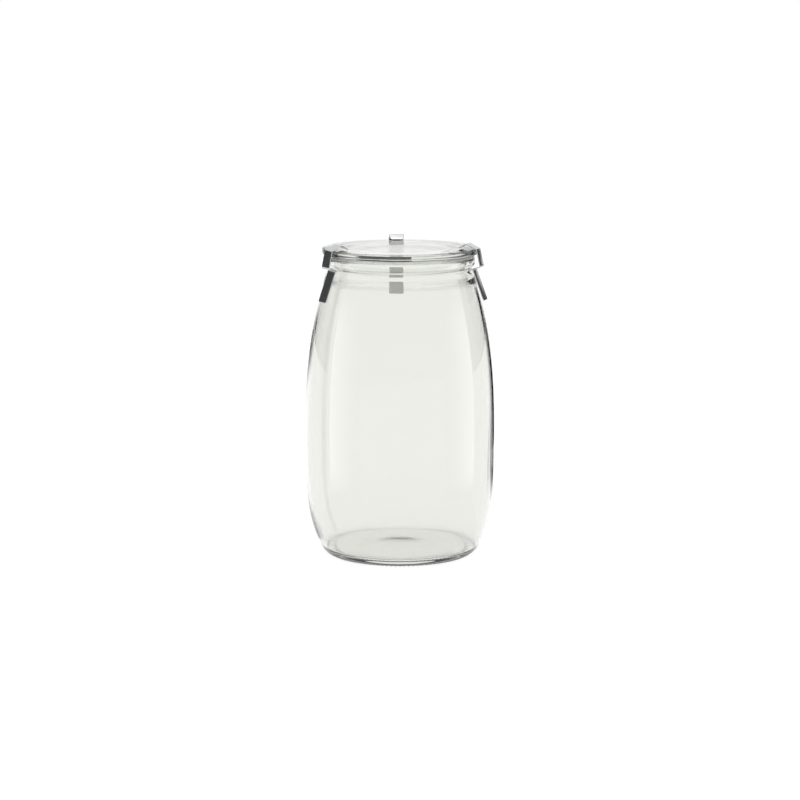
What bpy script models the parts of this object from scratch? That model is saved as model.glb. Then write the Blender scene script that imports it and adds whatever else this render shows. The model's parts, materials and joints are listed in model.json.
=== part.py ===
"""Storage jar of about 2.5 litres: a turned glass body, a flat glass lid, a sealing ring and three spring clips.

Metres, +Z up. The jar stands on Z = 0 with its axis on the Z axis, and the front is -Y.
Each piece is one named object. Every clip's origin is on the line where its tip rocks on the lid.
"""

import math

import bmesh
import bpy
import numpy as np

MM = 0.001

# Body of the jar
BELLY_RADIUS = 70.2 * MM
BELLY_HEIGHT = 88.0 * MM
SHOULDER_HEIGHT = 203.0 * MM
SHOULDER_LOSS = 14.0 * MM
SHOULDER_POWER = 2.5
HEEL_HEIGHT = 6.0 * MM
HEEL_LOSS = 14.3 * MM
HEEL_POWER = 3.8
WALL = 3.0 * MM
FLOOR_HEIGHT = 5.5 * MM
FLOOR_RISE = 1.0 * MM
FLOOR_RADIUS = 53.6 * MM
FLOOR_BEND = 8.5 * MM
THROAT_HEIGHT = 199.0 * MM
THROAT_END = 212.6 * MM
WALL_STEP = 9.0 * MM
FOOT_INNER_RADIUS = 46.5 * MM
FOOT_OUTER_RADIUS = 51.5 * MM
PUNT_DEPTH = 2.2 * MM

# Neck and rim
NECK_RADIUS = 55.0 * MM
NECK_HEIGHT = 208.0 * MM
NECK_SLOPE = -0.2
GROOVE_RADIUS = 52.9 * MM
GROOVE_TOP = 213.2 * MM
GROOVE_HEIGHT = 212.4 * MM
RIM_RADIUS = 55.2 * MM
RIM_BOTTOM = 213.6 * MM
RIM_LOWER_ROUND = 3.0 * MM
RIM_LOWER_END = -76
RIM_UPPER_ROUND = 1.8 * MM
MOUTH_RADIUS = 48.6 * MM

# Lid and sealing ring
TOUCH_GAP = 0.3 * MM
LID_TOP = 228.0 * MM
LID_RADIUS = 57.3 * MM
LID_FLANGE = 4.8 * MM
LID_EDGE_ROUND = 1.4 * MM
PLUG_RADIUS = 47.4 * MM
PLUG_DEPTH = 5.0 * MM
PLUG_INNER_RADIUS = 41.5 * MM
PLUG_ROUND = 1.5 * MM
PLUG_CORNER = 0.6 * MM
PLUG_RUNOUT = 3.0 * MM
LID_WEB = 4.2 * MM
SEAL_THICKNESS = 1.8 * MM
SEAL_OUTER_RADIUS = 54.9 * MM
SEAL_INNER_RADIUS = 48.3 * MM
SEAL_ROUND = 0.5 * MM

# Spring clips
STRIP_THICKNESS = 0.7 * MM
STRIP_WIDTH = 11.4 * MM
TIP_WIDTH = 9.4 * MM
TIP_TAPER_LENGTH = 5.5 * MM
END_ROUND = 1.6 * MM
TIP_RADIUS = 45.4 * MM
RIDGE_RADIUS = 51.4 * MM
RIDGE_RISE = 4.0 * MM
LEG_TOP_RADIUS = 59.2 * MM
LEG_TOP_RISE = 0.2 * MM
LEG_BOTTOM_RADIUS = 62.0 * MM
LEG_BOTTOM_HEIGHT = 215.4 * MM
CATCH_RADIUS = 53.8 * MM
CATCH_HEIGHT = 213.1 * MM
TAB_RADIUS = 64.8 * MM
TAB_HEIGHT = 191.0 * MM
BEND_RADIUS = 1.3 * MM
CLIP_AZIMUTHS = {"clip_left": -60.0, "clip_right": 73.5, "clip_back": 182.9}

TURN_STEPS = 48
WELD_DISTANCE = 0.01 * MM


def clear_scene():
    for thing in list(bpy.data.objects):
        bpy.data.objects.remove(thing, do_unlink=True)


def new_collection(name):
    made = bpy.data.collections.new(name)
    bpy.context.scene.collection.children.link(made)
    return made


def new_material(name, colour, roughness, metallic, transmission=0.0, alpha=1.0):
    """A Principled material; the colour is linear RGB."""
    made = bpy.data.materials.new(name)
    made.use_nodes = True
    shader = made.node_tree.nodes["Principled BSDF"]
    shader.inputs["Base Color"].default_value = (*colour, 1.0)
    shader.inputs["Roughness"].default_value = roughness
    shader.inputs["Metallic"].default_value = metallic
    shader.inputs["Transmission Weight"].default_value = transmission
    shader.inputs["Alpha"].default_value = alpha
    made.diffuse_color = (*colour, alpha)
    return made


def arc(centre, radius, start, end, pieces):
    """Points (r, z) of an arc about centre, from start to end in degrees, both ends included."""
    angles = np.radians(np.linspace(start, end, pieces + 1))
    return [
        (centre[0] + radius * math.cos(a), centre[1] + radius * math.sin(a))
        for a in angles
    ]


def eased(first, slope_in, last, slope_out, pieces):
    """Points (r, z) of a cubic in z from first to last that leaves and arrives with the slopes dr/dz."""
    height = last[1] - first[1]
    points = []
    for t in np.linspace(0.0, 1.0, pieces + 1):
        r = (2 * t**3 - 3 * t**2 + 1) * first[0] + (t**3 - 2 * t**2 + t) * slope_in * height
        r += (3 * t**2 - 2 * t**3) * last[0] + (t**3 - t**2) * slope_out * height
        points.append((float(r), float(first[1] + t * height)))
    return points


def wall_radius(z):
    """Outer radius of the glass between the heel and the shoulder."""
    if z >= BELLY_HEIGHT:
        share = (z - BELLY_HEIGHT) / (SHOULDER_HEIGHT - BELLY_HEIGHT)
        return BELLY_RADIUS - SHOULDER_LOSS * share**SHOULDER_POWER
    share = (BELLY_HEIGHT - z) / BELLY_HEIGHT
    return BELLY_RADIUS - HEEL_LOSS * share**HEEL_POWER


def wall_slope(z):
    """Slope dr/dz of the outer wall below the belly."""
    return HEEL_POWER * HEEL_LOSS / BELLY_HEIGHT * (1 - z / BELLY_HEIGHT) ** (HEEL_POWER - 1)


def bend(start, corner, end, pieces):
    """Points (r, z) of a quadratic Bezier, tangent at its ends to the lines to the corner."""
    start, corner, end = np.array(start), np.array(corner), np.array(end)
    points = []
    for t in np.linspace(0.0, 1.0, pieces + 1):
        r, z = (1 - t) ** 2 * start + 2 * t * (1 - t) * corner + t**2 * end
        points.append((float(r), float(z)))
    return points


def heel():
    """Points (r, z) of the rounded heel, from the wall's lower end to the flat of the foot."""
    start = (wall_radius(HEEL_HEIGHT), HEEL_HEIGHT)
    corner = (start[0] - wall_slope(HEEL_HEIGHT) * HEEL_HEIGHT, 0.0)
    return bend(start, corner, (FOOT_OUTER_RADIUS, 0.0), 5)


def rim_top():
    return LID_TOP - LID_FLANGE - 2 * TOUCH_GAP - SEAL_THICKNESS


def jar_inside():
    """Inner side of the glass: slightly domed floor, tight corner, even wall and throat up to the mouth."""
    points = []
    for share in np.linspace(0.0, 1.0, 5):
        points.append((float(FLOOR_RADIUS * share), float(FLOOR_HEIGHT + FLOOR_RISE * (1 - share**2) ** 2)))
    slope = wall_slope(FLOOR_BEND)
    wall_start = (wall_radius(FLOOR_BEND) - WALL * math.hypot(1.0, slope), FLOOR_BEND)
    corner = (wall_start[0] - slope * (FLOOR_BEND - FLOOR_HEIGHT), FLOOR_HEIGHT)
    points += bend(points[-1], corner, wall_start, 4)[1:]
    for z in np.linspace(FLOOR_BEND, THROAT_HEIGHT, 14)[1:]:
        lean = (wall_radius(z + MM) - wall_radius(z - MM)) / (2 * MM)
        points.append((wall_radius(z) - WALL * math.hypot(1.0, lean), float(z)))
    slope = (points[-1][0] - points[-2][0]) / (points[-1][1] - points[-2][1])
    points += eased(points[-1], slope, (MOUTH_RADIUS, THROAT_END), 0.0, 6)[1:]
    return points


def jar_rim():
    """Over the lip and round the bead, from the mouth to the groove under the bead."""
    top = rim_top()
    inner = (MOUTH_RADIUS + RIM_UPPER_ROUND, top - RIM_UPPER_ROUND)
    outer = (RIM_RADIUS - RIM_UPPER_ROUND, top - RIM_UPPER_ROUND)
    lower = (RIM_RADIUS - RIM_LOWER_ROUND, RIM_BOTTOM + RIM_LOWER_ROUND)
    points = arc(inner, RIM_UPPER_ROUND, 180, 90, 3)
    points += arc(outer, RIM_UPPER_ROUND, 90, 0, 4)
    points += arc(lower, RIM_LOWER_ROUND, 0, RIM_LOWER_END, 6)
    return points


def jar_outside():
    """From the groove down over the shoulder, belly and heel to the middle of the underside."""
    slope = -SHOULDER_POWER * SHOULDER_LOSS / (SHOULDER_HEIGHT - BELLY_HEIGHT)
    groove = (GROOVE_RADIUS, GROOVE_HEIGHT)
    neck = (NECK_RADIUS, NECK_HEIGHT)
    shoulder = (wall_radius(SHOULDER_HEIGHT), SHOULDER_HEIGHT)
    points = [(GROOVE_RADIUS, GROOVE_TOP)]
    points += eased(groove, 0.0, neck, NECK_SLOPE, 4)
    points += eased(neck, NECK_SLOPE, shoulder, slope, 2)[1:]
    for z in np.linspace(SHOULDER_HEIGHT - WALL_STEP, BELLY_HEIGHT, 8):
        points.append((wall_radius(z), float(z)))
    for z in np.linspace(BELLY_HEIGHT - 2 * WALL_STEP, HEEL_HEIGHT, 8):
        points.append((wall_radius(z), float(z)))
    points += heel()[1:]
    for share in np.linspace(0.0, 1.0, 5):
        rise = math.sin(0.5 * math.pi * share) ** 2
        points.append((float(FOOT_INNER_RADIUS * (1 - share)), PUNT_DEPTH * rise))
    return points


def turned(name, points, closed, collection, material):
    """One solid of revolution about Z from (r, z) points whose outer side runs downwards."""
    made = bpy.data.meshes.new(name)
    count = len(points)
    edges = [(i, i + 1) for i in range(count - 1)]
    if closed:
        edges.append((count - 1, 0))
    made.from_pydata([(r, 0.0, z) for r, z in points], edges, [])
    made.materials.append(material)
    thing = bpy.data.objects.new(name, made)
    collection.objects.link(thing)
    screw = thing.modifiers.new("Turn", "SCREW")
    screw.axis = "Z"
    screw.angle = 2 * math.pi
    screw.steps = TURN_STEPS
    screw.render_steps = TURN_STEPS
    screw.use_merge_vertices = True
    screw.merge_threshold = WELD_DISTANCE
    screw.use_smooth_shade = True
    return thing


def build_jar(collection, glass):
    return turned("jar_body", jar_inside() + jar_rim() + jar_outside(), False, collection, glass)


def build_lid(collection, glass):
    """Flat glass disc with a rounded flange and a locating ring that stands into the mouth."""
    bottom = LID_TOP - LID_FLANGE
    low = bottom - PLUG_DEPTH
    outer = LID_RADIUS - LID_EDGE_ROUND
    points = [(0.0, LID_TOP), (LID_RADIUS * 0.5, LID_TOP)]
    points += arc((outer, LID_TOP - LID_EDGE_ROUND), LID_EDGE_ROUND, 90, 0, 4)
    points += arc((outer, bottom + LID_EDGE_ROUND), LID_EDGE_ROUND, 0, -90, 4)
    points += [(PLUG_RADIUS + PLUG_CORNER, bottom), (PLUG_RADIUS, bottom - PLUG_CORNER)]
    points += arc((PLUG_RADIUS - PLUG_ROUND, low + PLUG_ROUND), PLUG_ROUND, 0, -90, 3)
    points += arc((PLUG_INNER_RADIUS + PLUG_ROUND, low + PLUG_ROUND), PLUG_ROUND, -90, -150, 2)
    points += [(PLUG_INNER_RADIUS - PLUG_RUNOUT, LID_TOP - LID_WEB), (0.0, LID_TOP - LID_WEB)]
    return turned("lid", points, False, collection, glass)


def build_seal(collection, rubber):
    """Flat ring with softened corners, lying between the lip of the jar and the lid's flange."""
    top = LID_TOP - LID_FLANGE - TOUCH_GAP
    low = top - SEAL_THICKNESS
    outer = SEAL_OUTER_RADIUS - SEAL_ROUND
    inner = SEAL_INNER_RADIUS + SEAL_ROUND
    points = arc((inner, top - SEAL_ROUND), SEAL_ROUND, 180, 90, 2)
    points += arc((outer, top - SEAL_ROUND), SEAL_ROUND, 90, 0, 2)
    points += arc((outer, low + SEAL_ROUND), SEAL_ROUND, 0, -90, 2)
    points += arc((inner, low + SEAL_ROUND), SEAL_ROUND, -90, -180, 2)
    return turned("gasket", points, True, collection, rubber)


def bent_line(corners, radius, pieces):
    """The corners joined by straight runs, each inner corner rounded to the radius."""
    corners = [np.array(c) for c in corners]
    points = [corners[0]]
    for before, corner, after in zip(corners, corners[1:], corners[2:]):
        u = (before - corner) / np.linalg.norm(before - corner)
        v = (after - corner) / np.linalg.norm(after - corner)
        half = 0.5 * math.acos(float(np.clip(u @ v, -1, 1)))
        middle = corner + (u + v) / np.linalg.norm(u + v) * radius / math.sin(half)
        start = corner + u * radius / math.tan(half) - middle
        sweep = math.pi - 2 * half
        turn = math.copysign(1.0, start[0] * v[1] - start[1] * v[0])
        for a in np.linspace(0.0, sweep * turn, pieces + 1):
            c, s = math.cos(a), math.sin(a)
            points.append(middle + np.array([c * start[0] - s * start[1], s * start[0] + c * start[1]]))
    points.append(corners[-1])
    return np.array(points)


def with_stations(line, distances):
    """The line with a point added at each distance along it."""
    along = np.concatenate([[0.0], np.cumsum(np.linalg.norm(np.diff(line, axis=0), axis=1))])
    every = np.unique(np.round(np.concatenate([along, distances]), 8))
    return np.stack([np.interp(every, along, line[:, k]) for k in (0, 1)], axis=1), every


def tip_height():
    """Height of the strip's middle line where its tip rests on the lid."""
    return LID_TOP + TOUCH_GAP + STRIP_THICKNESS / 2


def clip_side_line():
    """Middle line of the strip seen from the side, as (r, z) from the tip on the lid to the end of the tab."""
    corners = [
        (TIP_RADIUS, tip_height()),
        (RIDGE_RADIUS, LID_TOP + RIDGE_RISE),
        (LEG_TOP_RADIUS, LID_TOP + LEG_TOP_RISE),
        (LEG_BOTTOM_RADIUS, LEG_BOTTOM_HEIGHT),
        (CATCH_RADIUS, CATCH_HEIGHT),
        (TAB_RADIUS, TAB_HEIGHT),
    ]
    return bent_line(corners, BEND_RADIUS, 5)


def half_width(along, length):
    """Half the strip's width: narrower at the tip, with rounded corners at both ends."""
    share = np.clip(along / TIP_TAPER_LENGTH, 0.0, 1.0)
    half = 0.5 * (TIP_WIDTH + (STRIP_WIDTH - TIP_WIDTH) * share)
    near_end = np.clip(np.minimum(along, length - along), 0.0, END_ROUND)
    return half - (END_ROUND - np.sqrt(END_ROUND**2 - (END_ROUND - near_end) ** 2))


def build_clip(name, azimuth, collection, steel):
    """One bent spring strip. Its own X points away from the jar's axis and its origin is the tip's rocking line."""
    line = clip_side_line()
    length = float(np.linalg.norm(np.diff(line, axis=0), axis=1).sum())
    rounds = END_ROUND * (1 - np.cos(np.radians(np.linspace(15, 90, 5))))
    line, along = with_stations(line, np.concatenate([rounds, [TIP_TAPER_LENGTH], length - rounds]))
    pivot = np.array([TIP_RADIUS, tip_height()])
    forward = np.gradient(line, axis=0)
    forward /= np.linalg.norm(forward, axis=1)[:, None]
    across = np.stack([-forward[:, 1], forward[:, 0]], axis=1) * STRIP_THICKNESS / 2
    half = half_width(along, length)
    body = bmesh.new()
    rings = []
    for centre, side, w in zip(line - pivot, across, half):
        over = centre + side
        under = centre - side
        ring = [(over[0], -w, over[1]), (over[0], w, over[1]), (under[0], w, under[1]), (under[0], -w, under[1])]
        rings.append([body.verts.new(p) for p in ring])
    for a, b in zip(rings, rings[1:]):
        for k in range(4):
            body.faces.new((a[k], a[(k + 1) % 4], b[(k + 1) % 4], b[k]))
    body.faces.new(rings[0][::-1])
    body.faces.new(rings[-1])
    bmesh.ops.recalc_face_normals(body, faces=body.faces)
    made = bpy.data.meshes.new(name)
    body.to_mesh(made)
    body.free()
    made.materials.append(steel)
    thing = bpy.data.objects.new(name, made)
    collection.objects.link(thing)
    # Azimuth is counted from the front (-Y) towards +X.
    turn = math.radians(azimuth - 90.0)
    thing.rotation_euler = (0.0, 0.0, turn)
    thing.location = (pivot[0] * math.cos(turn), pivot[0] * math.sin(turn), pivot[1])
    return thing


def main():
    clear_scene()
    jar = new_collection("bail_clamp_jar")
    glass = new_material("soda_lime_glass", (0.86, 0.90, 0.88), 0.02, 0.0, 1.0, 0.35)
    rubber = new_material("silicone_ring", (0.80, 0.82, 0.80), 0.35, 0.0)
    steel = new_material("spring_steel", (0.62, 0.63, 0.64), 0.18, 1.0)
    build_jar(jar, glass)
    build_lid(jar, glass)
    build_seal(jar, rubber)
    for name, azimuth in CLIP_AZIMUTHS.items():
        build_clip(name, azimuth, jar, steel)


main()
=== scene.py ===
"""Looks of a clip-top storage jar: glass body and lid, a silicone sealing ring and three spring clips.

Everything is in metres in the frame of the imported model: +Z up, the jar's axis on Z, its foot on Z = 0 and
its front towards -Y. Each piece is a surface worked out with numpy from a few sizes, stands for one solid of
the frame and rides on that solid's body.
"""

import json
import logging
import math
from dataclasses import dataclass
from enum import Enum
from typing import Any, Callable

import bpy
import numpy as np
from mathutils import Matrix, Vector

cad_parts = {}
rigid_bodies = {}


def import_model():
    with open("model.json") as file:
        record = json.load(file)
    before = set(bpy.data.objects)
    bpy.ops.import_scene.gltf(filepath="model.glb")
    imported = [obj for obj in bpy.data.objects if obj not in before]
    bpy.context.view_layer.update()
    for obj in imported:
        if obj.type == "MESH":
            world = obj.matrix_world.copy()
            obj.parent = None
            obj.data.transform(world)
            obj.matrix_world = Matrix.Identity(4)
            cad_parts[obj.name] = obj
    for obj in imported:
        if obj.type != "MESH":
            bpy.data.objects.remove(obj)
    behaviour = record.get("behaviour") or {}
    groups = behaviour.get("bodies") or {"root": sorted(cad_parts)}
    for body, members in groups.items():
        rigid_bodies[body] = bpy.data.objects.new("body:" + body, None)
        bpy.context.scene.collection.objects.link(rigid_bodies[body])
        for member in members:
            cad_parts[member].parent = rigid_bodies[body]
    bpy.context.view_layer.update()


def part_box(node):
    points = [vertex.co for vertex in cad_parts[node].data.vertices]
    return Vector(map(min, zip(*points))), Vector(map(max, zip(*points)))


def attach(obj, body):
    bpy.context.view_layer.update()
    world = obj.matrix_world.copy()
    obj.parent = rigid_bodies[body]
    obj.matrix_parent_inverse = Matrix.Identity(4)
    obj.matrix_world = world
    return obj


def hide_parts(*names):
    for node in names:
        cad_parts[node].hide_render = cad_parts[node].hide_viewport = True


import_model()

MM = 0.001
SAME_POINT = 0.01 * MM

log = logging.getLogger("jar")

Points = np.ndarray


# ---------------------------------------------------------------- colours and nodes


def linear(hex_colour: str) -> tuple[float, float, float, float]:
    """Turn an sRGB hex colour into linear RGBA.

    Args:
        hex_colour: Six hex digits after a hash sign.

    Returns:
        Red, green and blue from 0 to 1 in linear light, and an alpha of 1.
    """
    levels = [int(hex_colour[i:i + 2], 16) / 255 for i in (1, 3, 5)]
    red, green, blue = (v / 12.92 if v <= 0.04045 else ((v + 0.055) / 1.055) ** 2.4 for v in levels)
    return red, green, blue, 1.0


def add_node(tree: bpy.types.NodeTree, kind: str, settings: dict[str, Any] | None = None,
             links: dict[Any, Any] | None = None, **attributes: Any) -> bpy.types.Node:
    """Add one node with its settings and incoming links.

    Args:
        tree: Node tree that gets the node.
        kind: Type of the node without its "ShaderNode" prefix.
        settings: Plain values of input sockets, by name or index.
        links: Output sockets that feed input sockets, by name or index.
        **attributes: Properties of the node itself.

    Returns:
        The new node.
    """
    node = tree.nodes.new("ShaderNode" + kind)
    for name, value in attributes.items():
        setattr(node, name, value)
    for socket, value in (settings or {}).items():
        node.inputs[socket].default_value = value
    for socket, source in (links or {}).items():
        tree.links.new(source, node.inputs[socket])
    return node


def blank_material(name: str) -> tuple[bpy.types.Material, bpy.types.NodeTree, bpy.types.Node]:
    """Make a material that holds only its output node.

    Args:
        name: Name of the material.

    Returns:
        The material, its node tree and the output node.
    """
    made = bpy.data.materials.new(name)
    made.use_nodes = True
    made.node_tree.nodes.clear()
    return made, made.node_tree, add_node(made.node_tree, "OutputMaterial")


# ---------------------------------------------------------------- surfaces


def arc(centre: tuple[float, float], radius: float, start: float, end: float, pieces: int) -> Points:
    """Points of a circular arc: centre plus radius times (cos a, sin a), a going evenly from start to end.

    Args:
        centre: Centre as (r, z).
        radius: Radius in metres.
        start: First angle in degrees.
        end: Last angle in degrees.
        pieces: Number of straight pieces.

    Returns:
        Array of (r, z) rows, both ends included.
    """
    a = np.radians(np.linspace(start, end, pieces + 1))
    return np.stack([centre[0] + radius * np.cos(a), centre[1] + radius * np.sin(a)], axis=1)


def easing(first: Points, slope_in: float, last: Points, slope_out: float, pieces: int) -> Points:
    """Cubic Hermite run in z: r leaves first with slope dr/dz slope_in and reaches last with slope_out.

    Args:
        first: Start as (r, z).
        slope_in: Slope dr/dz at the start.
        last: End as (r, z).
        slope_out: Slope dr/dz at the end.
        pieces: Number of straight pieces.

    Returns:
        Array of (r, z) rows, both ends included.
    """
    t = np.linspace(0.0, 1.0, pieces + 1)
    rise = last[1] - first[1]
    r = (2 * t**3 - 3 * t**2 + 1) * first[0] + (t**3 - 2 * t**2 + t) * slope_in * rise
    r = r + (3 * t**2 - 2 * t**3) * last[0] + (t**3 - t**2) * slope_out * rise
    return np.stack([r, first[1] + t * rise], axis=1)


def bezier(first: Points, corner: Points, last: Points, pieces: int) -> Points:
    """Quadratic Bezier from first to last, tangent at its ends to the lines to the corner.

    Args:
        first: Start as (r, z).
        corner: Point that pulls the curve.
        last: End as (r, z).
        pieces: Number of straight pieces.

    Returns:
        Array of (r, z) rows, both ends included.
    """
    t = np.linspace(0.0, 1.0, pieces + 1)[:, None]
    return (1 - t) ** 2 * first + 2 * t * (1 - t) * corner + t**2 * last


def joined(*runs: Points) -> Points:
    """Join runs of (r, z) rows into one, dropping each row that repeats the one before it.

    Args:
        *runs: Rows (r, z), or one such row.

    Returns:
        All rows in order, each more than SAME_POINT from the one before.
    """
    rows = np.concatenate([np.asarray(run, float).reshape(-1, 2) for run in runs])
    step = np.linalg.norm(np.diff(rows, axis=0), axis=1)
    return rows[np.concatenate([[True], step > SAME_POINT])]


def mesh_object(name: str, points: Points, loops: np.ndarray, sizes: np.ndarray,
                material: bpy.types.Material, uv: Points | None = None) -> bpy.types.Object:
    """Put vertices and faces into a smooth-shaded mesh object at the origin.

    Args:
        name: Name of the object and its mesh.
        points: Vertex rows (x, y, z).
        loops: Vertex numbers of all faces, one face after the other.
        sizes: Number of corners of each face.
        material: Material of the whole piece.
        uv: One (u, v) row for each corner in loops, or None.

    Returns:
        The object, linked to the scene.
    """
    made = bpy.data.meshes.new(name)
    made.vertices.add(len(points))
    made.vertices.foreach_set("co", np.ascontiguousarray(points, np.float32).ravel())
    made.loops.add(len(loops))
    made.loops.foreach_set("vertex_index", loops.astype(np.int32))
    made.polygons.add(len(sizes))
    made.polygons.foreach_set("loop_start", np.concatenate([[0], np.cumsum(sizes)[:-1]]).astype(np.int32))
    made.polygons.foreach_set("use_smooth", np.ones(len(sizes), bool))
    if uv is not None:
        made.uv_layers.new(name="strip").data.foreach_set("uv", uv.astype(np.float32).ravel())
    made.update(calc_edges=True)
    made.validate()
    made.materials.append(material)
    thing = bpy.data.objects.new(name, made)
    bpy.context.scene.collection.objects.link(thing)
    return thing


def turned_faces(rings: int, around: int, poles: bool) -> tuple[np.ndarray, np.ndarray]:
    """Faces of a grid of rings by around vertices that closes on itself round the axis.

    With poles, vertex 0 and the last vertex are on the axis and fans of triangles close both ends. Without
    them the last ring joins the first, as on a ring-shaped piece.

    Args:
        rings: Number of rings of vertices.
        around: Vertices in each ring.
        poles: Whether the profile starts and ends on the axis.

    Returns:
        Vertex numbers of all faces, and the corner count of each face.
    """
    offset = 1 if poles else 0
    row = np.arange(rings - 1 if poles else rings)[:, None]
    col = np.arange(around)[None, :]
    after = (col + 1) % around
    below = (row + 1) % rings
    a, b = offset + row * around + col, offset + row * around + after
    c, d = offset + below * around + after, offset + below * around + col
    quads = np.stack([a + 0 * b, d, c, b], axis=-1).reshape(-1, 4)
    loops, sizes = quads.ravel(), np.full(len(quads), 4)
    if poles:
        ring = np.arange(around)
        turned = (ring + 1) % around
        last = offset + (rings - 1) * around
        top = np.stack([np.zeros(around, int), offset + ring, offset + turned], axis=1)
        end = np.stack([np.full(around, last + around), last + turned, last + ring], axis=1)
        loops = np.concatenate([loops, top.ravel(), end.ravel()])
        sizes = np.concatenate([sizes, np.full(2 * around, 3)])
    return loops, sizes


def turned(name: str, profile: Points, around: int, material: bpy.types.Material,
           shift: Callable[[Points, Points, Points], Points] | None = None) -> bpy.types.Object:
    """Solid of revolution: the point at angle t and profile row i is (r cos t, r sin t, z).

    Args:
        name: Name of the piece.
        profile: Rows (r, z), running down the outer side. It either starts and ends on the axis or is a ring.
        around: Number of steps round the axis.
        material: Material of the piece.
        shift: Function of (r, z, angle) that gives what is added to r and z, or None.

    Returns:
        The object.
    """
    poles = profile[0, 0] < 0.001 * MM
    rows = profile[1:-1] if poles else profile
    angle = np.linspace(0.0, 2 * np.pi, around, endpoint=False)[None, :]
    r = np.repeat(rows[:, :1], around, axis=1)
    z = np.repeat(rows[:, 1:], around, axis=1)
    if shift is not None:
        moved = shift(r, z, angle + 0 * r)
        r, z = r + moved[0], z + moved[1]
    grid = np.stack([r * np.cos(angle), r * np.sin(angle), z], axis=-1).reshape(-1, 3)
    if poles:
        ends = np.array([[0.0, 0.0, profile[0, 1]], [0.0, 0.0, profile[-1, 1]]])
        grid = np.concatenate([ends[:1], grid, ends[1:]])
    loops, sizes = turned_faces(len(rows), around, poles)
    return mesh_object(name, grid, loops, sizes, material)


# ---------------------------------------------------------------- finishes


@dataclass(frozen=True)
class SodaLimeGlass:
    """Soda-lime container glass, pressed and blown: colourless in a thin wall, grey-green where it is thick.

    The tint comes from traces of iron, so it is an absorption inside the glass and not a colour on it.
    """

    name: str = "soda_lime_glass"
    body: str = "#F0F0ED"
    tint: str = "#B9C4B4"
    depth_density: float = 4.0
    ior: float = 1.52
    roughness: float = 0.0
    ripple_spacing: float = 14.0 * MM
    ripple_height: float = 0.012 * MM
    peel_spacing: float = 2.5 * MM
    peel_height: float = 0.0006 * MM

    def material(self) -> bpy.types.Material:
        """Build the material: a clear dielectric whose skin ripples and whose inside absorbs a little.

        Returns:
            The material.
        """
        made, tree, out = blank_material(self.name)
        where = add_node(tree, "TexCoord")
        # Glass that chills against an iron mould keeps long shallow ripples, drawn out as the bubble is blown
        # down the mould. They bend the lines seen through it a little.
        drawn = add_node(tree, "Mapping", {"Scale": (1.0, 1.0, 0.5)}, {"Vector": where.outputs["Object"]})
        ripple = add_node(tree, "TexNoise", {"Scale": 1.0 / self.ripple_spacing, "Detail": 1.0},
                          {"Vector": drawn.outputs[0]})
        long_waves = add_node(tree, "Bump", {"Strength": 1.0, "Distance": self.ripple_height},
                              {"Height": ripple.outputs["Fac"]})
        # The mould's own skin leaves an orange peel that only breaks up the sharpest highlights.
        peel = add_node(tree, "TexNoise", {"Scale": 1.0 / self.peel_spacing, "Detail": 2.0},
                        {"Vector": where.outputs["Object"]})
        skin = add_node(tree, "Bump", {"Strength": 1.0, "Distance": self.peel_height},
                        {"Height": peel.outputs["Fac"], "Normal": long_waves.outputs[0]})
        shader = add_node(tree, "BsdfPrincipled", {
            "Base Color": linear(self.body), "Roughness": self.roughness, "IOR": self.ior,
            "Transmission Weight": 1.0}, {"Normal": skin.outputs[0]})
        inside = add_node(tree, "VolumeAbsorption",
                          {"Color": linear(self.tint), "Density": self.depth_density})
        tree.links.new(shader.outputs[0], out.inputs["Surface"])
        tree.links.new(inside.outputs[0], out.inputs["Volume"])
        return made


@dataclass(frozen=True)
class SiliconeRubber:
    """Unfilled silicone rubber, moulded: milky and translucent, with a soft satin skin."""

    name: str = "silicone_rubber"
    body: str = "#F4F6F2"
    cloud: str = "#E9ECE6"
    ior: float = 1.41
    roughness: float = 0.28
    clearness: float = 0.8
    cloud_spacing: float = 6.0 * MM
    grain_spacing: float = 0.4 * MM
    grain_height: float = 0.01 * MM

    def material(self) -> bpy.types.Material:
        """Build the material: rough transmission over a pale, cloudy body, with a fine moulded grain.

        Returns:
            The material.
        """
        made, tree, out = blank_material(self.name)
        where = add_node(tree, "TexCoord")
        clouds = add_node(tree, "TexNoise", {"Scale": 1.0 / self.cloud_spacing, "Detail": 2.0},
                          {"Vector": where.outputs["Object"]})
        colour = add_node(tree, "Mix", {6: linear(self.cloud), 7: linear(self.body)},
                          {0: clouds.outputs["Fac"]}, data_type="RGBA")
        # The mould's blasted face gives the rubber a matt grain, worn a little smoother in places.
        grain = add_node(tree, "TexNoise", {"Scale": 1.0 / self.grain_spacing, "Detail": 2.0},
                         {"Vector": where.outputs["Object"]})
        matt = add_node(tree, "MapRange", {"To Min": self.roughness * 0.8, "To Max": self.roughness * 1.3},
                        {"Value": clouds.outputs["Fac"]})
        skin = add_node(tree, "Bump", {"Strength": 0.5, "Distance": self.grain_height},
                        {"Height": grain.outputs["Fac"]})
        shader = add_node(tree, "BsdfPrincipled", {"IOR": self.ior, "Transmission Weight": self.clearness},
                          {"Base Color": colour.outputs[2], "Roughness": matt.outputs[0],
                           "Normal": skin.outputs[0]})
        tree.links.new(shader.outputs[0], out.inputs["Surface"])
        return made


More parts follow.
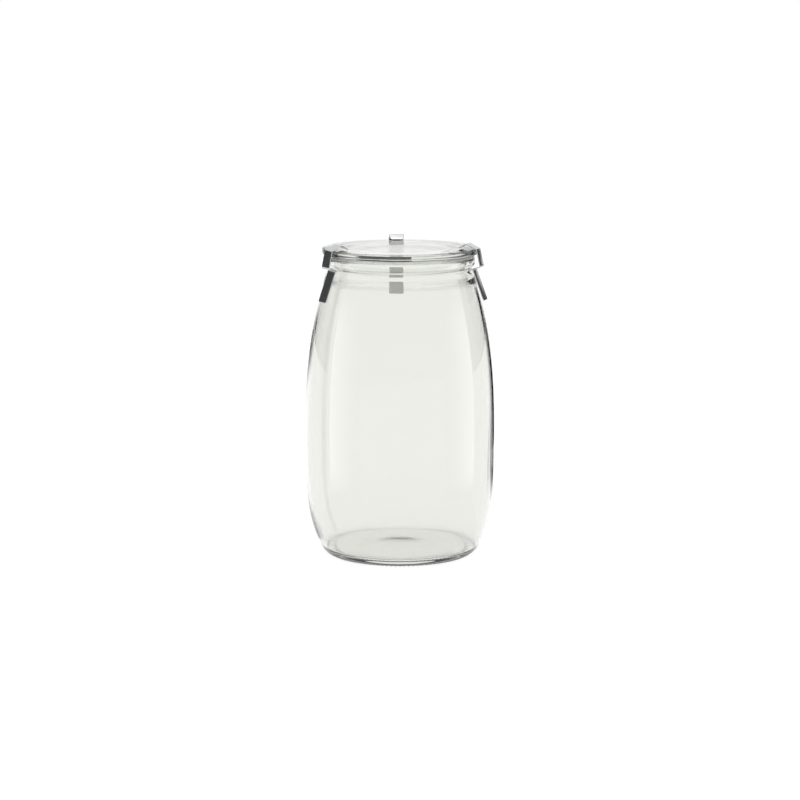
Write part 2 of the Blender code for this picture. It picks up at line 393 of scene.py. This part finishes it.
@dataclass(frozen=True)
class RolledSpringSteel:
    """Stainless spring steel, cold rolled: bright grey metal with fine lines along the strip."""

    name: str = "rolled_spring_steel"
    body: str = "#C9CBCC"
    dark: str = "#B4B6B8"
    roughness: float = 0.16
    line_spacing: float = 0.35 * MM
    line_stretch: float = 50.0
    line_height: float = 0.02 * MM
    line_strength: float = 0.06
    anisotropy: float = 0.3

    def material(self) -> bpy.types.Material:
        """Build the material: rolling lines vary the colour, the roughness and the height a little.

        Returns:
            The material.
        """
        made, tree, out = blank_material(self.name)
        where = add_node(tree, "UVMap", uv_map="strip")
        # The strip's own lines are a few hundredths of a millimetre apart, too fine to show, so they are
        # drawn a third of a millimetre apart. U runs along the strip, where they are fifty times longer.
        fine = 1.0 / self.line_spacing
        stretched = add_node(tree, "Mapping", {"Scale": (fine / self.line_stretch, fine, 1.0)},
                             {"Vector": where.outputs[0]})
        lines = add_node(tree, "TexNoise", {"Scale": 1.0, "Detail": 3.0, "Roughness": 0.6},
                         {"Vector": stretched.outputs[0]})
        colour = add_node(tree, "Mix", {6: linear(self.dark), 7: linear(self.body)},
                          {0: lines.outputs["Fac"]}, data_type="RGBA")
        rough = add_node(tree, "MapRange", {"To Min": self.roughness * 0.7, "To Max": self.roughness * 1.4},
                         {"Value": lines.outputs["Fac"]})
        bump = add_node(tree, "Bump", {"Strength": self.line_strength, "Distance": self.line_height},
                        {"Height": lines.outputs["Fac"]})
        shader = add_node(tree, "BsdfPrincipled", {"Metallic": 1.0, "Anisotropic": self.anisotropy},
                          {"Base Color": colour.outputs[2], "Roughness": rough.outputs[0],
                           "Normal": bump.outputs[0]})
        tree.links.new(shader.outputs[0], out.inputs["Surface"])
        return made


# ---------------------------------------------------------------- the jar's glass body


@dataclass
class GlassBody:
    """Barrel-shaped glass body with a stippled foot, a shoulder, a groove and a beaded rim."""

    glass: bpy.types.Material
    belly_radius: float = 70.2 * MM
    belly_height: float = 88.0 * MM
    shoulder_height: float = 203.0 * MM
    shoulder_loss: float = 14.0 * MM
    shoulder_power: float = 2.5
    heel_height: float = 6.0 * MM
    heel_loss: float = 14.3 * MM
    heel_power: float = 3.8
    wall: float = 3.0 * MM
    floor_height: float = 5.5 * MM
    floor_rise: float = 1.6 * MM
    floor_radius: float = 53.6 * MM
    floor_bend: float = 8.5 * MM
    throat_height: float = 199.0 * MM
    throat_end: float = 212.6 * MM
    foot_inner: float = 46.5 * MM
    foot_outer: float = 51.5 * MM
    punt: float = 1.5 * MM
    neck: tuple[float, float] = (55.0 * MM, 208.0 * MM)
    neck_slope: float = -0.2
    groove: tuple[float, float] = (52.9 * MM, 212.4 * MM)
    groove_top: float = 213.2 * MM
    rim_radius: float = 55.2 * MM
    rim_bottom: float = 213.6 * MM
    rim_lower_round: float = 3.0 * MM
    rim_lower_end: float = -76.0
    rim_upper_round: float = 1.8 * MM
    mouth_radius: float = 48.6 * MM
    stipples: int = 104
    stipple_height: float = 0.9 * MM
    stipple_middle: float = 52.4 * MM
    stipple_half: float = 3.9 * MM
    stipple_reach: float = 2.5 * MM
    waviness: float = 0.22 * MM
    wave_fade_top: float = 20.0 * MM
    wave_fade_foot: float = 12.0 * MM
    around: int = 416

    def wall_radius(self, z: Points) -> Points:
        """Outer radius at height z: the belly's radius less a power of the distance from the belly.

        Args:
            z: Heights between the heel and the shoulder.

        Returns:
            The outer radius at each height.
        """
        above = np.clip((z - self.belly_height) / (self.shoulder_height - self.belly_height), 0, None)
        below = np.clip((self.belly_height - z) / self.belly_height, 0, None)
        return (self.belly_radius - self.shoulder_loss * above**self.shoulder_power
                - self.heel_loss * below**self.heel_power)

    def heel(self, pieces: int) -> Points:
        """Quadratic Bezier from the wall's lower end to the flat of the foot, tangent to both.

        Args:
            pieces: Number of straight pieces.

        Returns:
            Array of (r, z) rows.
        """
        share = 1 - self.heel_height / self.belly_height
        steep = self.heel_power * self.heel_loss / self.belly_height * share ** (self.heel_power - 1)
        start = np.array([float(self.wall_radius(np.array(self.heel_height))), self.heel_height])
        corner = np.array([start[0] - steep * self.heel_height, 0.0])
        end = np.array([self.foot_outer, 0.0])
        return bezier(start, corner, end, pieces)

    def inside(self) -> Points:
        """Inner side, from the middle of the floor to the mouth.

        The floor is a dome of height rise times (1 - s squared) squared, where s is the share of its radius.
        A tight Bezier corner leads to the wall, which keeps its thickness square to the outside, and an
        easing run makes the throat.

        Returns:
            Array of (r, z) rows.
        """
        share = np.linspace(0, 1, 13)
        dome = self.floor_height + self.floor_rise * (1 - share**2) ** 2
        floor = np.stack([self.floor_radius * share, dome], axis=1)
        z = np.linspace(self.floor_bend, self.throat_height, 36)
        lean = np.gradient(self.wall_radius(z), z)
        wall = np.stack([self.wall_radius(z) - self.wall * np.sqrt(1 + lean**2), z], axis=1)
        corner = np.array([wall[0, 0] - lean[0] * (self.floor_bend - self.floor_height), self.floor_height])
        bend = bezier(floor[-1], corner, wall[0], 16)
        slope = (wall[-1, 0] - wall[-2, 0]) / (wall[-1, 1] - wall[-2, 1])
        throat = easing(wall[-1], slope, np.array([self.mouth_radius, self.throat_end]), 0.0, 16)
        return joined(floor, bend, wall, throat)

    def rim(self, top: float) -> Points:
        """Lip and bead: three rounds joined by straight runs, from the mouth to the groove.

        Args:
            top: Height of the lip.

        Returns:
            Array of (r, z) rows.
        """
        upper, lower = self.rim_upper_round, self.rim_lower_round
        return joined(
            arc((self.mouth_radius + upper, top - upper), upper, 180, 90, 8),
            arc((self.rim_radius - upper, top - upper), upper, 90, 0, 8),
            arc((self.rim_radius - lower, self.rim_bottom + lower), lower, 0, self.rim_lower_end, 12))

    def outside(self) -> Points:
        """Outer side from the groove down over the shoulder, belly, heel and foot to the punt's middle.

        The punt rises as the squared sine of a quarter turn, so it leaves the foot's flat without an edge.

        Returns:
            Array of (r, z) rows.
        """
        slope = -self.shoulder_power * self.shoulder_loss / (self.shoulder_height - self.belly_height)
        shoulder_end = float(self.wall_radius(np.array(self.shoulder_height)))
        hollow = easing(np.array(self.groove), 0.0, np.array(self.neck), self.neck_slope, 12)
        shoulder = np.array([shoulder_end, self.shoulder_height])
        neck = easing(np.array(self.neck), self.neck_slope, shoulder, slope, 6)
        z = np.linspace(self.shoulder_height - 4 * MM, self.heel_height, 40)
        wall = np.stack([self.wall_radius(z), z], axis=1)
        foot = np.stack([np.linspace(self.foot_outer, self.foot_inner, 9)[1:], np.zeros(8)], axis=1)
        t = np.linspace(0.0, 1.0, 11)[1:]
        punt = np.stack([self.foot_inner * (1 - t), self.punt * np.sin(0.5 * np.pi * t) ** 2], axis=1)
        return joined([self.groove[0], self.groove_top], hollow, neck, wall, self.heel(24), foot, punt)

    def unevenness(self, r: Points, z: Points, angle: Points) -> tuple[Points, Points]:
        """Blown glass is never quite even: long waves on the inside, and a stippled ring on the foot.

        The waves are a sum of three sines of angle and height that fade out towards the neck and the floor.
        The stipples are raised-cosine dimples round the outer edge of the foot, cut upwards so that they
        stay above Z = 0.

        Args:
            r: Radius of each point.
            z: Height of each point.
            angle: Angle of each point round the axis.

        Returns:
            What is added to r and to z.
        """
        outer = self.wall_radius(np.clip(z, self.heel_height, self.shoulder_height))
        is_inside = (r < outer - 0.6 * self.wall) & (z > self.floor_height + 1 * MM) & (z < self.neck[1])
        fade = (np.clip((self.neck[1] - z) / self.wave_fade_top, 0, 1)
                * np.clip((z - self.floor_height) / self.wave_fade_foot, 0, 1))
        waves = (np.sin(2 * angle + 21 * z) + 0.6 * np.sin(5 * angle - 33 * z + 1.3)
                 + 0.4 * np.sin(3 * angle + 60 * z + 0.4))
        dr = np.where(is_inside, self.waviness * waves * fade, 0.0)
        across = np.clip(1 - ((r - self.stipple_middle) / self.stipple_half) ** 2, 0, 1)
        across = across * (z < self.stipple_reach)
        dz = self.stipple_height * across * (0.5 - 0.5 * np.cos(self.stipples * angle))
        return dr, dz

    def build(self) -> bpy.types.Object:
        """Build the body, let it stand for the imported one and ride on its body.

        Returns:
            The object.
        """
        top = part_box("jar_body")[1][2]
        profile = joined(self.inside(), self.rim(float(top)), self.outside())
        piece = turned("glass_body", profile, self.around, self.glass, self.unevenness)
        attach(piece, "jar")
        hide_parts("jar_body")
        log.info("glass_body: %d rows by %d", len(profile), self.around)
        return piece


# ---------------------------------------------------------------- the lid and the sealing ring


@dataclass
class GlassLid:
    """Flat glass lid: a rounded flange that rests on the sealing ring and a locating ring in the mouth."""

    glass: bpy.types.Material
    radius: float = 57.3 * MM
    flange: float = 4.8 * MM
    edge_round: float = 1.4 * MM
    plug_radius: float = 47.4 * MM
    plug_depth: float = 5.0 * MM
    plug_inner: float = 41.5 * MM
    plug_corner: float = 0.8 * MM
    plug_round: float = 1.5 * MM
    web: float = 4.2 * MM
    web_round: float = 1.2 * MM
    web_runout: float = 3.2 * MM
    web_radius: float = 35.5 * MM
    around: int = 360

    def profile(self, top: float) -> Points:
        """Half section, from the middle of the top face round to the middle of the underside.

        Args:
            top: Height of the top face.

        Returns:
            Array of (r, z) rows: straight runs joined by circular rounds.
        """
        bottom, outer = top - self.flange, self.radius - self.edge_round
        low, web = bottom - self.plug_depth, top - self.web
        corner, plug, bend = self.plug_corner, self.plug_round, self.web_round
        return joined(
            np.stack([np.linspace(0, outer, 12), np.full(12, top)], axis=1),
            arc((outer, top - self.edge_round), self.edge_round, 90, 0, 8),
            arc((outer, bottom + self.edge_round), self.edge_round, 0, -90, 8),
            arc((self.plug_radius + corner, bottom - corner), corner, 90, 180, 5),
            arc((self.plug_radius - plug, low + plug), plug, 0, -90, 8),
            arc((self.plug_inner + plug, low + plug), plug, -90, -150, 6),
            arc((self.plug_inner - self.web_runout, web - bend), bend, 30, 90, 5),
            np.stack([np.linspace(self.web_radius, 0, 8), np.full(8, web)], axis=1))

    def build(self) -> bpy.types.Object:
        """Build the lid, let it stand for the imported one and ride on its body.

        Returns:
            The object.
        """
        top = float(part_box("lid")[1][2])
        piece = turned("glass_lid", self.profile(top), self.around, self.glass)
        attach(piece, "lid")
        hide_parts("lid")
        log.info("glass_lid: radius %.1f mm", self.radius / MM)
        return piece


@dataclass
class SealingRing:
    """Flat silicone ring squeezed between the lip and the lid, so its outer edge bulges a little."""

    rubber: bpy.types.Material
    outer: float = 54.9 * MM
    inner: float = 48.3 * MM
    spare: float = 0.24 * MM
    bulge: float = 0.35 * MM
    around: int = 240

    def build(self) -> bpy.types.Object:
        """Build the ring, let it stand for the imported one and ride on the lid's body.

        Its section is two flat faces joined by half ellipses, one for each free edge.

        Returns:
            The object.
        """
        low, high = (float(corner[2]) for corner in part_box("gasket"))
        low, high = low - self.spare, high + self.spare
        middle, half = (low + high) / 2, (high - low) / 2
        a = np.linspace(0, np.pi, 13)
        swell = self.bulge * (1 - np.sin(a))
        outer = np.stack([self.outer - swell, middle + half * np.cos(a)], axis=1)
        inner = np.stack([self.inner + swell, middle - half * np.cos(a)], axis=1)
        piece = turned("sealing_ring", joined(outer, inner), self.around, self.rubber)
        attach(piece, "lid")
        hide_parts("gasket")
        log.info("sealing_ring: %.1f mm thick", (high - low) / MM)
        return piece


# ---------------------------------------------------------------- the spring clips


class ClipPlace(Enum):
    """Where the clips stand, in degrees from the front towards +X, by the name of their body."""

    LEFT = ("clip_left", -60.0)
    RIGHT = ("clip_right", 73.5)
    BACK = ("clip_back", 182.9)


@dataclass
class SpringClip:
    """One strip of spring steel bent into a hook over the lid and a tab that stands off the shoulder."""

    steel: bpy.types.Material
    place: ClipPlace
    lid_top: float
    thickness: float = 0.7 * MM
    width: float = 11.4 * MM
    tip_width: float = 9.4 * MM
    taper: float = 5.5 * MM
    end_round: float = 1.6 * MM
    edge_round: float = 0.3 * MM
    roundest: float = 0.95
    bend: float = 1.3 * MM
    rest: float = 0.3 * MM
    tip_radius: float = 45.4 * MM
    ridge: tuple[float, float] = (51.4 * MM, 3.98 * MM)
    leg_top: tuple[float, float] = (59.2 * MM, 0.2 * MM)
    leg_bottom: tuple[float, float] = (62.0 * MM, -12.6 * MM)
    catch: tuple[float, float] = (53.8 * MM, -14.9 * MM)
    tab_end: tuple[float, float] = (64.8 * MM, -37.0 * MM)

    def side_line(self) -> Points:
        """Middle line of the strip: straight runs with every corner rounded to the bend radius.

        Returns:
            Array of (r, z) rows, from the tip on the lid to the end of the tab.
        """
        tip = (self.tip_radius, self.rest + self.thickness / 2)
        corners = np.array([tip, self.ridge, self.leg_top, self.leg_bottom, self.catch, self.tab_end])
        corners[:, 1] += self.lid_top
        runs = [corners[:1]]
        for before, corner, after in zip(corners, corners[1:], corners[2:]):
            u = (before - corner) / np.linalg.norm(before - corner)
            v = (after - corner) / np.linalg.norm(after - corner)
            half = 0.5 * math.acos(float(np.clip(u @ v, -1, 1)))
            middle = corner + (u + v) / np.linalg.norm(u + v) * self.bend / math.sin(half)
            first = corner + u * self.bend / math.tan(half) - middle
            side = math.copysign(math.pi - 2 * half, first[0] * v[1] - first[1] * v[0])
            a = np.linspace(0, side, 13)
            runs.append(middle + np.stack([np.cos(a) * first[0] - np.sin(a) * first[1],
                                           np.sin(a) * first[0] + np.cos(a) * first[1]], axis=1))
        runs.append(corners[-1:])
        return np.concatenate(runs)

    def stations(self) -> tuple[Points, Points, Points]:
        """Rows of the side line, closer together where the ends are rounded.

        Returns:
            The (r, z) rows, the distance along the line and the unit vectors across it.
        """
        line = self.side_line()
        along = np.concatenate([[0], np.cumsum(np.linalg.norm(np.diff(line, axis=0), axis=1))])
        ease = 1 - np.cos(np.linspace(0, np.pi / 2, 10))
        near = np.concatenate([ease * self.end_round, ease * self.edge_round])
        straight = np.linspace(0, along[-1], 60)
        every = np.unique(np.round(np.concatenate([along, near, along[-1] - near, straight]), 7))
        rows = np.stack([np.interp(every, along, line[:, k]) for k in (0, 1)], axis=1)
        forward = np.gradient(rows, every, axis=0)
        forward /= np.linalg.norm(forward, axis=1)[:, None]
        return rows, every, np.stack([-forward[:, 1], forward[:, 0]], axis=1)

    def section(self, count: int = 6) -> Points:
        """Outline of a rounded rectangle, without its sizes.

        A point is its sign times the half side less the corner radius, plus its corner part times the radius.

        Args:
            count: Points in each rounded corner.

        Returns:
            Rows of the sign and then the corner part, each across the strip and through its thickness.
        """
        a = np.linspace(0, np.pi / 2, count)
        signs = np.array([[1, 1], [-1, 1], [-1, -1], [1, -1]])
        rows = []
        for k, sign in enumerate(signs):
            c, s = (np.cos(a), np.sin(a)) if k % 2 == 0 else (np.sin(a), np.cos(a))
            flat = [np.full(count, sign[0]), np.full(count, sign[1])]
            rows.append(np.stack([*flat, sign[0] * c, sign[1] * s], axis=1))
        return np.concatenate(rows)

    def rounding(self, along: Points, radius: float) -> Points:
        """What a quarter circle takes off each side, within its radius of either end of the strip.

        Args:
            along: Distance of each row from the tip.
            radius: Radius of the quarter circle.

        Returns:
            The loss at each row: radius less the root of radius squared less (radius less distance) squared.
        """
        near = np.clip(np.minimum(along, along[-1] - along), 0, radius)
        return radius - np.sqrt(radius**2 - (radius - near) ** 2)

    def build(self) -> bpy.types.Object:
        """Carry the rounded section along the side line, turn it to its place and close both ends.

        Returns:
            The object.
        """
        body, azimuth = self.place.value
        rows, along, across = self.stations()
        share = np.clip(along / self.taper, 0, 1)
        half_width = 0.5 * (self.tip_width + (self.width - self.tip_width) * share)
        half_width -= self.rounding(along, self.end_round)
        half_depth = self.thickness / 2 - self.rounding(along, self.edge_round)
        section = self.section()
        corner = np.minimum(self.edge_round, half_depth * self.roundest)[:, None]
        y = section[None, :, 0] * (half_width[:, None] - corner) + section[None, :, 2] * corner
        over = section[None, :, 1] * (half_depth[:, None] - corner) + section[None, :, 3] * corner
        r = rows[:, :1] + across[:, :1] * over
        z = rows[:, 1:] + across[:, 1:] * over
        turn = math.radians(azimuth - 90)
        east = r * math.cos(turn) - y * math.sin(turn)
        north = r * math.sin(turn) + y * math.cos(turn)
        points = np.stack([east, north, z], axis=-1)
        many, wide = points.shape[:2]
        row, col = np.arange(many - 1)[:, None], np.arange(wide)[None, :]
        after = (col + 1) % wide
        ring, ahead = row * wide, (row + 1) * wide
        quads = np.stack([ring + col, ring + after, ahead + after, ahead + col], axis=-1).reshape(-1, 4)
        caps = [np.arange(wide)[::-1], (many - 1) * wide + np.arange(wide)]
        loops = np.concatenate([quads.ravel(), *caps])
        sizes = np.concatenate([np.full(len(quads), 4), [wide, wide]])
        u = np.repeat(along[:, None], wide, axis=1).ravel()[loops]
        v = (y + over).ravel()[loops]
        uv = np.stack([u, v], axis=1)
        piece = mesh_object("spring_" + body, points.reshape(-1, 3), loops, sizes, self.steel, uv)
        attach(piece, body)
        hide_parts(body)
        log.info("%s: strip %.1f mm long", piece.name, along[-1] / MM)
        return piece


# ---------------------------------------------------------------- the studio


@dataclass(frozen=True)
class Card:
    """A curved card that stands round the jar and is seen only in the glass and the steel.

    Its glow eases from the first value to the second along the span; 0 is black felt and 1 the white of the
    room. Angles are in degrees, from straight behind the jar towards +X. The feather is the share of the
    height over which its foot and its head thin out to the white of the room.
    """

    name: str
    radius: float
    span: tuple[float, float]
    heights: tuple[float, float]
    glow: tuple[float, float]
    shows_through_glass: bool
    feather: tuple[float, float]


# The flags draw the thin dark lines just inside the glass's edges, the curtains darken the faces of the front
# clips, and the bright cards light the flanks.
CARDS = (
    Card("flag_right", 0.18, (39, 50), (0, 0.22), (0, 0), True, (0.15, 0.15)),
    Card("flag_left", 0.18, (-48, -39), (0.11, 0.19), (0, 0), True, (0.4, 0.4)),
    Card("curtain_right", 3.0, (28, 80), (0, 1.4), (0.08, 0.08), False, (0.01, 0.01)),
    Card("curtain_left", 3.0, (-80, -28), (0, 1.4), (0.08, 0.08), False, (0.01, 0.01)),
    Card("bright_left", 0.22, (-99, -138), (0, 0.27), (2.4, 1.0), False, (0.15, 0.35)),
    Card("bright_right", 0.22, (93, 132), (0, 0.27), (2.4, 1.0), False, (0.15, 0.35)),
)


@dataclass
class Studio:
    """A glowing white table in an even white room, a soft lamp overhead, curved cards and the camera."""

    floor_half: float = 60.0
    floor_drop: float = 0.1 * MM
    table_colour: str = "#7A7B7A"
    table_glow: float = 0.9
    lamp_at: tuple[float, float, float] = (0.0, 0.2, 1.6)
    lamp_aim: tuple[float, float, float] = (0.0, 0.2, 0.0)
    lamp_size: tuple[float, float] = (0.9, 0.9)
    lamp_glow: float = 1.6
    card_pieces: int = 32
    camera_distance: float = 1.66774
    camera_height: float = 0.40955
    camera_pitch: float = 10.0517
    focal: float = 102.793
    sensor: float = 36.0

    def floor(self) -> None:
        """Lay a flat white table just under the foot, lit from above and glowing from below."""
        made, tree, out = blank_material("opal_acrylic_table")
        diffuse = add_node(tree, "BsdfDiffuse", {"Color": linear(self.table_colour)})
        glow = add_node(tree, "Emission", {"Color": linear("#FFFFFF"), "Strength": self.table_glow})
        both = add_node(tree, "AddShader", {}, {0: diffuse.outputs[0], 1: glow.outputs[0]})
        tree.links.new(both.outputs[0], out.inputs["Surface"])
        h = self.floor_half
        corners = np.array([[-h, -h, 0], [h, -h, 0], [h, h, 0], [-h, h, 0]]) - [0, 0, self.floor_drop]
        mesh_object("studio_floor", corners, np.arange(4), np.array([4]), made)

    def surroundings(self) -> None:
        """Even white room round the table, as inside a light tent."""
        world = bpy.data.worlds.new("studio")
        bpy.context.scene.world = world
        world.use_nodes = True
        tree = world.node_tree
        tree.nodes.clear()
        sky = add_node(tree, "Background", {"Color": (1, 1, 1, 1), "Strength": 1.0})
        out = add_node(tree, "OutputWorld")
        tree.links.new(sky.outputs[0], out.inputs["Surface"])

    def overhead(self) -> None:
        """Hang one square softbox over the table, where the camera doesn't see it directly."""
        lamp = bpy.data.lights.new("overhead", "AREA")
        lamp.shape = "RECTANGLE"
        lamp.size, lamp.size_y = self.lamp_size
        lamp.energy = math.pi * self.lamp_size[0] * self.lamp_size[1] * self.lamp_glow
        thing = bpy.data.objects.new("overhead", lamp)
        thing.location = self.lamp_at
        facing = Vector(self.lamp_aim) - Vector(self.lamp_at)
        thing.rotation_euler = facing.to_track_quat("-Z", "Y").to_euler()
        thing.visible_camera = False
        bpy.context.scene.collection.objects.link(thing)

    def card_material(self, card: Card) -> bpy.types.Material:
        """Make a card's glow: one ramp along the span, thinned out to 1 at the foot and the head.

        Args:
            card: The card.

        Returns:
            The material.
        """
        made, tree, out = blank_material(card.name)
        where = add_node(tree, "UVMap", uv_map="strip")
        split = add_node(tree, "SeparateXYZ", {}, {0: where.outputs[0]})
        level = add_node(tree, "MapRange", {"To Min": card.glow[0], "To Max": card.glow[1]},
                         {"Value": split.outputs[0]}, interpolation_type="SMOOTHSTEP")
        foot = add_node(tree, "MapRange", {"From Max": card.feather[0]}, {"Value": split.outputs[1]},
                        interpolation_type="SMOOTHSTEP")
        head = add_node(tree, "MapRange", {"From Min": 1.0, "From Max": 1.0 - card.feather[1]},
                        {"Value": split.outputs[1]}, interpolation_type="SMOOTHSTEP")
        weave = add_node(tree, "Math", {}, {0: foot.outputs[0], 1: head.outputs[0]}, operation="MULTIPLY")
        mixed = add_node(tree, "MapRange", {"To Min": 1.0},
                         {"Value": weave.outputs[0], "To Max": level.outputs[0]})
        shine = add_node(tree, "Emission", {}, {"Strength": mixed.outputs[0]})
        tree.links.new(shine.outputs[0], out.inputs["Surface"])
        return made

    def stand(self, card: Card) -> None:
        """Stand one card round the jar: two arcs, one above the other, joined by a row of quads.

        Args:
            card: The card.
        """
        count = self.card_pieces
        a = np.radians(np.linspace(card.span[0], card.span[1], count + 1))
        low = np.stack([card.radius * np.sin(a), card.radius * np.cos(a), 0 * a + card.heights[0]], axis=1)
        high = low + [0, 0, card.heights[1] - card.heights[0]]
        k = np.arange(count)
        loops = np.stack([k, k + 1, k + count + 2, k + count + 1], axis=1).ravel()
        uv = np.stack([(loops % (count + 1)) / count, loops // (count + 1)], axis=1)
        points = np.concatenate([low, high])
        thing = mesh_object(card.name, points, loops, np.full(count, 4), self.card_material(card), uv)
        thing.visible_camera = thing.visible_diffuse = thing.visible_shadow = False
        thing.visible_transmission = card.shows_through_glass

    def camera(self) -> None:
        """Set up the camera in front of the jar, a little above the lid and tilted down."""
        lens = bpy.data.cameras.new("camera")
        lens.lens, lens.sensor_width = self.focal, self.sensor
        thing = bpy.data.objects.new("camera", lens)
        thing.location = (0.0, -self.camera_distance, self.camera_height)
        thing.rotation_euler = (math.radians(90 - self.camera_pitch), 0.0, 0.0)
        bpy.context.scene.collection.objects.link(thing)
        bpy.context.scene.camera = thing

    def build(self) -> None:
        """Set up everything round the jar."""
        bpy.context.scene.view_settings.view_transform = "Standard"
        self.floor()
        self.surroundings()
        self.overhead()
        for card in CARDS:
            self.stand(card)
        self.camera()


def main() -> None:
    """Build the glass, the ring, the clips and the studio, in that order."""
    logging.basicConfig(level=logging.INFO, format="%(name)s: %(message)s")
    glass = SodaLimeGlass().material()
    GlassBody(glass).build()
    GlassLid(glass).build()
    SealingRing(SiliconeRubber().material()).build()
    steel = RolledSpringSteel().material()
    lid_top = float(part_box("lid")[1][2])
    for place in ClipPlace:
        SpringClip(steel, place, lid_top).build()
    Studio().build()


if __name__ == "__main__":
    main()
